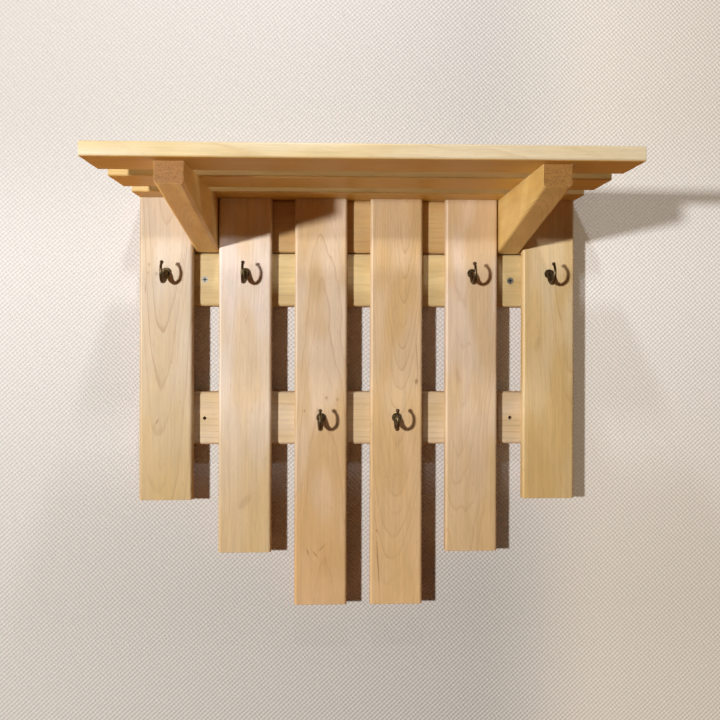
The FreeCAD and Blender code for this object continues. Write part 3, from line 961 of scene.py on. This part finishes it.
@dataclass
class CoatHooks:
    """Six bronze hooks: a round rosette, an arm that curls out and up to a ball, and a thread behind.

    Each oval along the arm has its angle and distance from the curl's middle, its half width and its half thickness,
    in degrees and millimetres.
    """

    effects: Effects
    rosette_radius: float = 6.0 * MM
    rosette_thickness: float = 2.6 * MM
    curl_out: float = 17.5 * MM
    curl_drop: float = 0.3 * MM
    ball_radius: float = 2.5 * MM
    screw_length: float = 9.4 * MM
    screw_radius: float = 1.5 * MM
    thread_radius: float = 0.42 * MM
    thread_pitch: float = 2.0 * MM
    skin: float = 0.26 * MM
    ovals: tuple[tuple[float, float, float, float], ...] = (
        (168.0, 14.7, 2.2, 0.9),
        (182.0, 12.7, 3.8, 2.15),
        (203.0, 11.2, 4.0, 2.2),
        (235.0, 12.5, 3.65, 2.2),
        (272.0, 13.5, 2.95, 2.1),
        (315.0, 12.3, 2.25, 1.95),
        (355.0, 11.5, 1.9, 1.8),
        (392.0, 12.0, 1.72, 1.68),
        (425.0, 12.8, 1.65, 1.6),
    )
    finish: MetalFinish = MetalFinish(
        "Antique bronze", tone(112, 96, 70), tone(44, 36, 24), (0.24, 0.38), 0.75, grain_size=1.0, relief=0.04 * MM
    )

    def arm_points(self) -> list[Vector]:
        """Middle of each oval along the arm.

        Returns:
            The points, from the rosette to the ball.
        """
        points = []
        for angle, distance, _, _ in self.ovals:
            turn, reach = math.radians(angle), distance * MM
            out, up = math.cos(turn) * reach, math.sin(turn) * reach
            points.append(Vector((0.0, -self.curl_out - out, up - self.curl_drop)))
        return points

    def arm_line(self) -> Mesh:
        """Makes the line that the arm is swept along.

        Returns:
            A mesh of edges that carries the arm's half width and half thickness.
        """
        points = self.arm_points()
        line = bpy.data.meshes.new("arm line")
        line.from_pydata(points, [(step, step + 1) for step in range(len(points) - 1)], [])
        for name, column in (("half_width", 2), ("half_thickness", 3)):
            values = line.attributes.new(name, "FLOAT", "POINT")
            values.data.foreach_set("value", [oval[column] * MM for oval in self.ovals])
        return line

    def tree(self) -> NodeTree:
        """Geometry tree of a hook: its arm swept along the line, its rosette, ball and thread.

        Returns:
            The tree.
        """
        takes = {
            "Arm": "Geometry", "Seat": "Vector", "Tip": "Vector", "Ball Radius": 0.0025, "Rosette Radius": 0.006,
            "Rosette Thickness": 0.0026, "Screw Radius": 0.0015, "Screw Length": 0.0094, "Thread Radius": 0.0004,
            "Thread Pitch": 0.002, "Finish": "Material",
        }
        tree = TreeBuilder.group("Curled hook", TreeKind.SHAPE, takes, ["Geometry"])
        half_width, half_thickness = [
            tree.add("GeometryNodeInputNamedAttribute", {"Name": name}, data_type="FLOAT")
            for name in ("half_width", "half_thickness")
        ]
        curve = tree.add("GeometryNodeMeshToCurve", {"Mesh": tree["Arm"]})
        bent = tree.add("GeometryNodeCurveSplineType", {"Curve": curve}, spline_type="CATMULL_ROM")
        fine = tree.add("GeometryNodeSetSplineResolution", {"Geometry": bent, "Resolution": 10})
        circle = tree.add("GeometryNodeCurvePrimitiveCircle", {"Resolution": 28, "Radius": 1.0})
        arm = tree.add("GeometryNodeCurveToMesh", {
            "Curve": fine, "Profile Curve": circle, "Scale": half_thickness, "Fill Caps": True,
        })
        across, out, up = tree.parts(tree.add("GeometryNodeInputPosition"))
        widened = tree.times(across, tree.over(half_width, half_thickness))
        oval = tree.add("GeometryNodeSetPosition", {"Geometry": arm, "Position": tree.joined(widened, out, up)})
        ball = tree.add("GeometryNodeMeshUVSphere", {"Segments": 40, "Rings": 24, "Radius": tree["Ball Radius"]})
        thickness = tree["Rosette Thickness"]
        round_plate = {"Vertices": 72, "Radius": tree["Rosette Radius"], "Depth": thickness}
        plate = tree.add("GeometryNodeMeshCylinder", round_plate)
        half_back = tree.joined(0.0, tree.times(thickness, -0.5), 0.0)
        rosette = tree.moved(plate, half_back, (QUARTER_TURN, 0.0, 0.0))
        whole = tree.union([oval, tree.moved(ball, tree["Tip"]), rosette, self.threaded(tree)])
        return tree.dressed(tree.moved(whole, tree["Seat"]))

    @staticmethod
    def threaded(tree: TreeBuilder) -> Node:
        """Adds the hook's screw behind its rosette, with a ridge that winds round it.

        Args:
            tree: Builder of the hook's tree.

        Returns:
            The node that gives the screw.
        """
        radius, length = tree["Screw Radius"], tree["Screw Length"]
        core = tree.add("GeometryNodeMeshCone", {
            "Vertices": 32, "Radius Top": tree.times(radius, 0.45), "Radius Bottom": radius, "Depth": length,
        })
        wound_length, ridge_radius = tree.times(length, 0.72), tree.times(radius, 0.86)
        ridge = tree.add("GeometryNodeCurveSpiral", {
            "Resolution": 24,
            "Rotations": tree.over(wound_length, tree["Thread Pitch"]),
            "Start Radius": ridge_radius,
            "End Radius": tree.times(ridge_radius, 0.7),
            "Height": wound_length,
        })
        bead = tree.add("GeometryNodeCurvePrimitiveCircle", {"Resolution": 8, "Radius": tree["Thread Radius"]})
        wound = tree.add("GeometryNodeCurveToMesh", {"Curve": ridge, "Profile Curve": bead, "Fill Caps": True})
        raised = tree.moved(wound, tree.joined(0.0, 0.0, tree.times(length, 0.1)))
        return tree.moved(tree.union([core, raised]), turn=(-QUARTER_TURN, 0.0, 0.0))

    def build(self) -> None:
        """Builds the six hooks where the rosettes sit on the slats."""
        tree = self.tree()
        bronze = self.finish.material(self.effects)
        tip = self.arm_points()[-1]
        finishing = [
            ("REMESH", {"mode": "VOXEL", "voxel_size": self.skin, "use_smooth_shade": True}),
            ("SMOOTH", {"factor": 0.5, "iterations": 5}),
        ]
        for number in range(1, 7):
            node = "hook_%d" % number
            slat_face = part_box("slat_%d" % number)[0].y
            seat = Vector((middle(node, 0), slat_face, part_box(node)[1].z - tip.z - self.ball_radius))
            values = {**spelled(self), "Seat": seat, "Tip": tip}
            piece = grown("curled_hook_%d" % number, tree, values, bronze, self.arm_line(), finishing)
            stands_for(piece, "hook_bronze", node)


@dataclass(frozen=True)
class ScrewSize:
    """Sizes of one kind of countersunk screw, in millimetres."""

    radius: float
    head_radius: float
    head_height: float
    length: float
    thread_from: float
    pitch: float = 2.0
    thread_depth: float = 0.5


@dataclass
class Fasteners:
    """All screws: countersunk, with a cross recess and a winding thread.

    Slat screws sit slat_pair to both sides of a slat's middle, and shelf screws shelf_inset in from a board's edge.
    """

    effects: Effects
    head_rim: float = 0.5 * MM
    tip: float = 5.0 * MM
    recess_width: float = 1.5 * MM
    recess_depth: float = 2.0 * MM
    recess_reach: float = 0.62
    recess_step: float = 0.83
    slat_pair: float = 20.0 * MM
    bracket_head: float = 4.0 * MM
    shelf_inset: float = 13.0 * MM
    finish: MetalFinish = MetalFinish(
        "Zinc", tone(212, 206, 194), tone(128, 122, 112), (0.2, 0.34), 0.5, grain_size=0.6, relief=0.012 * MM
    )

    @staticmethod
    def from_axis(tree: TreeBuilder) -> tuple[Socket, Socket, Socket, Socket]:
        """Where a point of the screw is.

        Args:
            tree: Builder of the screw's tree.

        Returns:
            The three parts of its place and its distance from the screw's axis.
        """
        across, through, height = tree.parts(tree.add("GeometryNodeInputPosition"))
        squares = [tree.math("POWER", part, 2.0) for part in (across, through)]
        return across, through, height, tree.math("SQRT", tree.plus(*squares))

    def tree(self) -> NodeTree:
        """Geometry tree of a group of screws: one screw, set on every point and turned to face its way.

        Returns:
            The tree.
        """
        takes = {
            "Points": "Geometry", "Turn": "Vector", "Radius": 0.00175, "Head Radius": 0.0035, "Head Height": 0.0022,
            "Head Rim": 0.0005, "Length": 0.024, "Tip": 0.005, "Thread From": 0.008, "Thread Depth": 0.0005,
            "Pitch": 0.002, "Recess Width": 0.001, "Recess Depth": 0.0015, "Recess Length": 0.004,
            "Finish": "Material",
        }
        tree = TreeBuilder.group("Countersunk screws", TreeKind.SHAPE, takes, ["Geometry"])
        length, pitch, head = [tree[name] for name in ("Length", "Pitch", "Head Radius")]
        thread_depth, thread_from = tree["Thread Depth"], tree["Thread From"]
        rod = tree.add("GeometryNodeMeshCylinder", {
            "Vertices": 20, "Side Segments": 120, "Fill Segments": 1, "Radius": 1.0, "Depth": 1.0,
        })
        across, through, height, inner = self.from_axis(tree)
        depth = tree.times(tree.math("POWER", tree.minus(0.5, height), 1.6), length)
        core = tree.minus(tree["Radius"], thread_depth)
        angle = tree.over(tree.math("ARCTAN2", through, across), 2 * math.pi)
        turn = tree.math("FRACT", tree.plus(tree.over(depth, pitch), angle))
        ridge = tree.span(tree.math("ABSOLUTE", tree.minus(turn, 0.5)), 0.18, 0.42, thread_depth, 0.0)
        start = tree.span(depth, thread_from, tree.plus(thread_from, pitch))
        taper = tree.ramp(depth, tree.minus(length, tree["Tip"]), length, 1.0, 0.08)
        shank = tree.times(tree.plus(core, tree.times(ridge, start)), taper)
        cone = tree.ramp(depth, tree["Head Rim"], tree["Head Height"], head, core)
        radius = tree.math("MINIMUM", tree.math("MAXIMUM", shank, cone), head)
        flat = tree.times(radius, tree.math("MINIMUM", inner, 1.0))
        safe = tree.math("MAXIMUM", inner, 0.000001)
        sideways = [tree.times(tree.over(part, safe), flat) for part in (across, through)]
        place = tree.joined(*sideways, tree.times(depth, -1.0))
        screw = tree.add("GeometryNodeSetPosition", {"Geometry": rod, "Position": place})
        recess_length, recess_depth = tree["Recess Length"], tree["Recess Depth"]
        arms = (recess_length, tree["Recess Width"])
        for sides in (arms, arms[::-1]):
            bar = tree.add("GeometryNodeMeshCube", {"Size": tree.joined(*sides, tree.times(recess_depth, 2.0))})
            screw = tree.add("GeometryNodeMeshBoolean", {0: screw, 1: bar}, operation="DIFFERENCE", solver="EXACT")
        # Marks the floor of the cross recess, where the zinc finish paints shade.
        _, _, height, reach = self.from_axis(tree)
        inside = tree.math("LESS_THAN", reach, tree.times(recess_length, 0.6))
        sunk = tree.math("LESS_THAN", height, tree.times(recess_depth, -0.1))
        mark = {"Geometry": screw, "Name": "recess", "Value": tree.times(inside, sunk)}
        marked = tree.add("GeometryNodeStoreNamedAttribute", mark, data_type="FLOAT")
        points = tree.add("GeometryNodeMeshToPoints", {"Mesh": tree["Points"]})
        settings = {"Points": points, "Instance": marked, "Rotation": tree["Turn"]}
        on_points = tree.add("GeometryNodeInstanceOnPoints", settings)
        spin = tree.joined(0.0, 0.0, tree.times(tree.add("GeometryNodeInputIndex"), self.recess_step))
        turning = {"Instances": on_points, "Rotation": spin, "Local Space": True}
        return tree.dressed(tree.add("GeometryNodeRotateInstances", turning))

    def build(self) -> None:
        """Builds every group of screws and lets it stand for its node."""
        tree = self.tree()
        zinc = self.finish.material(self.effects)
        board = ScrewSize(1.75, 3.5, 2.2, 24.0, 8.0)
        long_board = ScrewSize(1.75, 3.5, 2.2, 35.0, 12.0)
        bracket = ScrewSize(2.0, 4.0, 2.5, 55.0, 18.0, 2.2)
        wall = ScrewSize(2.25, 4.5, 2.8, 45.0, 15.0, 2.4, 0.65)
        inward = (-QUARTER_TURN, 0.0, 0.0)
        outward = (QUARTER_TURN, 0.0, 0.0)
        upward = (0.0, 0.0, 0.0)
        groups = [
            ("top_rail_screws", board, inward),
            ("middle_rail_screws", board, inward),
            ("lower_rail_screws", board, inward),
            ("bracket_screws", bracket, inward),
            ("shelf_screws", long_board, upward),
            ("wall_screw_left", wall, outward),
            ("wall_screw_right", wall, outward),
        ]
        for node, size, turn in groups:
            points = bpy.data.meshes.new("screw points")
            points.from_pydata([tuple(place) for place in self.heads(node)], [], [])
            values = {
                **spelled(self),
                **{name: value * MM for name, value in spelled(size).items()},
                "Turn": turn,
                "Recess Length": size.head_radius * 2 * self.recess_reach * MM,
            }
            smooth = ("WEIGHTED_NORMAL", {"keep_sharp": True, "weight": 50})
            piece = grown(node + "_threaded", tree, values, zinc, points, [smooth])
            stands_for(piece, "zinc_steel", node)

    def heads(self, node: str) -> list[Vector]:
        """Middle of each screw's head.

        Args:
            node: Name of the node that holds the screws.

        Returns:
            The points, read from where the boards are.
        """
        low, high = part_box(node)
        brackets = [middle("bracket_" + side, 0) for side in ("left", "right")]
        if node.endswith("rail_screws"):
            slats = [middle("slat_%d" % number, 0) for number in range(1, 7)]
            return [Vector((x + side * self.slat_pair, high.y, middle(node, 2))) for x in slats for side in (-1, 1)]
        if node == "bracket_screws":
            heights = (low.z + self.bracket_head, high.z - self.bracket_head)
            return [Vector((x, high.y, z)) for x in brackets for z in heights]
        if node == "shelf_screws":
            places = []
            slat_back, bracket_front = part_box("slat_1")[1].y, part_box("bracket_left")[0].y
            for name in ("back", "middle", "front"):
                board_low, board_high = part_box("shelf_board_" + name)
                rear = min(board_high.y, slat_back) - self.shelf_inset
                front = max(board_low.y, bracket_front) + self.shelf_inset
                places += [Vector((x, y, high.z)) for x in brackets for y in (rear, front)]
            return places
        return [Vector((middle(node, 0), low.y, middle(node, 2)))]


@dataclass(frozen=True)
class Lamp:
    """A round lamp that faces the middle of the rack: its place, diameter, power and colour."""

    name: str
    place: Point
    size: float
    watts: float
    colour: Point
    glossy: bool = True
    aim: Point = (0.0, -0.05, -0.1)

    def build(self) -> None:
        """Puts the lamp into the scene."""
        data = bpy.data.lights.new(self.name, "AREA")
        data.shape = "DISK"
        data.size = self.size
        data.energy = self.watts
        data.color = self.colour
        lamp = bpy.data.objects.new(self.name, data)
        ahead = Vector(self.aim) - Vector(self.place)
        lamp.matrix_world = Matrix.Translation(self.place) @ ahead.to_track_quat("-Z", "Y").to_matrix().to_4x4()
        lamp.visible_glossy = self.glossy
        bpy.context.scene.collection.objects.link(lamp)


@dataclass
class Studio:
    """Wall, floor, light and camera. The wall and the floor throw back a darker, warmer light than they show.
    The wall carries painted light and shade, and glows for the camera towards the right.
    """

    camera_place: Point = (-0.028225, -0.984321, -0.066333)
    camera_turn: float = 1.789
    camera_roll: float = 0.13
    lens: float = 35.906
    shift: float = -0.04264
    wall_gap: float = 0.5 * MM
    wall_half: float = 3.2
    floor_height: float = -1.5
    wall_colour: Colour = tone(231, 228, 227)
    wall_right: Colour = tone(231, 230, 233)
    wall_foot: Colour = tone(210, 208, 205)
    wall_top: Colour = tone(216, 212, 209)
    wall_bounce: Colour = tone(206, 152, 96)
    wall_glow: Colour = tone(255, 234, 200)
    glow_level: float = 0.19
    weave_gap: Colour = tone(150, 139, 124)
    weave_share: float = 0.18
    weave_relief: float = 0.4 * MM
    weave_drift: float = 5.0
    weave_turns: Point = (2 * math.pi / (6.6 * MM), 0.0, 2 * math.pi / (6.2 * MM))
    floor_colour: Colour = tone(226, 222, 216)
    floor_level: float = 0.66
    floor_shade: Colour = tone(124, 121, 117)
    floor_bounce: Colour = tone(158, 104, 54)
    room_colour: Colour = (1.0, 0.5, 0.2, 1.0)
    room_level: float = 0.01
    background: Colour = tone(236, 234, 231)
    lamps: tuple[Lamp, ...] = (
        Lamp("Window", (-1.68, -2.16, 0.09), 0.16, 74.0, (1.0, 0.985, 0.94)),
        Lamp("Ceiling lamp", (-0.06, -0.56, 0.85), 0.08, 3.5, (0.97, 0.985, 1.0)),
        Lamp("Right light", (2.4, -0.1, 0.0), 0.5, 8.0, (1.0, 0.9, 0.76)),
        Lamp("Rear light", (0.0, 2.6, -0.25), 0.3, 60.0, (1.0, 0.98, 0.95), glossy=False),
    )

    def build(self) -> None:
        """Sets up everything that isn't part of the rack."""
        half = self.wall_half
        square = [(-half, -half), (half, -half), (half, half), (-half, half)]
        self.sheet("wall", [(x, self.wall_gap, z) for x, z in square], self.wall_paint())
        self.sheet("floor", [(x, y, self.floor_height) for x, y in square], self.floor_paint())
        self.room()
        for lamp in self.lamps:
            lamp.build()
        self.camera()

    def wall_paint(self) -> Material:
        """Pale woven paper with painted light and shade on the wall behind the rack, which shows only from in front.

        Returns:
            The material.
        """
        made, tree, outputs = empty_material("Wall paint")
        place = outputs["Object"]
        strand, _, row = tree.parts(tree.vector("MULTIPLY", place, self.weave_turns))
        drift = tree.times(tree.noise(place, 70.0, 2.0), self.weave_drift)
        weave = tree.times(*[tree.math("SINE", tree.plus(turns, drift)) for turns in (strand, row)])
        bump = tree.add("ShaderNodeBump", {"Height": weave, "Strength": 1.0, "Distance": self.weave_relief})
        path = tree.add("ShaderNodeLightPath").outputs
        side, _, height = tree.parts(place)
        # Painted light and shade: the wall is a little lighter towards the right, darker low down and towards the
        # top.
        colour = tree.blend(tree.span(side, -0.1, 0.42), self.wall_colour, self.wall_right)
        colour = tree.blend(tree.span(height, -0.5, 0.1, 1.0, 0.0), colour, self.wall_foot)
        colour = tree.blend(tree.span(height, 0.0, 0.25), colour, self.wall_top)
        # Painted shade between the strands of the weave.
        colour = tree.blend(tree.ramp(weave, -0.8, 0.6, self.weave_share, 0.0), colour, self.weave_gap)
        colour = tree.blend(path["Is Camera Ray"], self.wall_bounce, colour)
        # Painted light: the wall glows for the camera only, more towards the right.
        paint = tree.add("ShaderNodeBsdfPrincipled", {
            "Base Color": colour,
            "Roughness": 0.85,
            "Normal": bump,
            "Specular IOR Level": 0.2,
            "Emission Color": self.wall_glow,
            "Emission Strength": tree.times(path["Is Camera Ray"], tree.span(side, 0.15, 0.35, 0.0, self.glow_level)),
        })
        # Light from behind passes the wall only on its way to what lies within the rack's depth of it.
        near = tree.times(
            tree.ramp(path["Ray Length"], 2 * MM, 3 * MM, 1.0, 0.35),
            tree.ramp(path["Ray Length"], 34 * MM, 36 * MM, 1.0, 0.0),
        )
        near = tree.times(near, tree.math("LESS_THAN", path["Diffuse Depth"], 0.5))
        behind = tree.add("ShaderNodeNewGeometry").outputs["Backfacing"]
        unseen = tree.math("MAXIMUM", behind, tree.times(path["Is Shadow Ray"], near))
        mixed = tree.add("ShaderNodeMixShader", {0: unseen, 1: paint, 2: tree.add("ShaderNodeBsdfTransparent")})
        tree.add("ShaderNodeOutputMaterial", {"Surface": mixed})
        return made

    def floor_paint(self) -> Material:
        """Pale floor well below the rack.

        Returns:
            The material.
        """
        made, tree, outputs = empty_material("Floor paint")
        seen = tree.add("ShaderNodeLightPath").outputs["Is Camera Ray"]
        paint = tree.add("ShaderNodeBsdfPrincipled", {
            "Base Color": tree.blend(seen, self.floor_bounce, self.floor_shade),
            "Roughness": tree.ramp(tree.noise(outputs["Object"], 9.0, 4.0), 0.3, 0.7, 0.6, 0.75),
            "Emission Color": self.floor_colour,
            "Emission Strength": tree.times(seen, self.floor_level),
        })
        tree.add("ShaderNodeOutputMaterial", {"Surface": paint})
        return made

    @staticmethod
    def sheet(name: str, corners: Sequence[Point], finish: Material) -> None:
        """One flat face of the stage.

        Args:
            name: Name of the face.
            corners: Its four corners.
            finish: Its material.
        """
        mesh = bpy.data.meshes.new(name)
        mesh.from_pydata(corners, [], [(0, 1, 2, 3)])
        mesh.materials.append(finish)
        piece = bpy.data.objects.new(name, mesh)
        bpy.context.scene.collection.objects.link(piece)

    def room(self) -> None:
        """Soft light from all round, with a pale background behind it."""
        world = bpy.data.worlds.new("Room")
        world.use_nodes = True
        world.node_tree.nodes.clear()
        tree = TreeBuilder(world.node_tree)
        path = tree.add("ShaderNodeLightPath").outputs
        seen = tree.math("MAXIMUM", path["Is Camera Ray"], tree.times(path["Is Glossy Ray"], 0.3))
        soft = tree.add("ShaderNodeBackground", {"Color": self.room_colour, "Strength": self.room_level})
        pale = tree.add("ShaderNodeBackground", {"Color": self.background, "Strength": 1.0})
        mixed = tree.add("ShaderNodeMixShader", {0: seen, 1: soft, 2: pale})
        tree.add("ShaderNodeOutputWorld", {"Surface": mixed})
        bpy.context.scene.world = world

    def camera(self) -> None:
        """Camera where the picture was taken from: level, turned and rolled a little."""
        turn, roll = math.radians(self.camera_turn), math.radians(self.camera_roll)
        ahead = Vector((math.sin(turn), math.cos(turn), 0.0))
        level_right = Vector((math.cos(turn), -math.sin(turn), 0.0))
        level_up = Vector((0.0, 0.0, 1.0))
        right = level_right * math.cos(roll) + level_up * math.sin(roll)
        up = level_up * math.cos(roll) - level_right * math.sin(roll)
        data = bpy.data.cameras.new("Camera")
        data.sensor_width = 36.0
        data.lens = self.lens
        data.shift_y = self.shift
        data.clip_start = 0.01
        camera = bpy.data.objects.new("Camera", data)
        turned = Matrix((right, up, -ahead)).transposed().to_4x4()
        camera.matrix_world = Matrix.Translation(self.camera_place) @ turned
        bpy.context.scene.collection.objects.link(camera)
        bpy.context.scene.camera = camera
        bpy.context.scene.view_settings.view_transform = "Standard"


def clear_start() -> None:
    """Takes away what a new file holds by itself."""
    kept = set(frame["nodes"].values()) | set(frame["bodies"].values())
    for thing in list(bpy.data.objects):
        if thing not in kept:
            bpy.data.objects.remove(thing)


def main() -> None:
    """Builds the rack's pieces in order, then the studio."""
    logging.basicConfig(level=logging.INFO, format="%(name)s: %(message)s")
    clear_start()
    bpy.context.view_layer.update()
    effects = Effects()
    SlatRow(effects).build()
    Carcass(effects).build()
    CoatHooks(effects).build()
    Fasteners(effects).build()
    Studio().build()


if __name__ == "__main__":
    main()
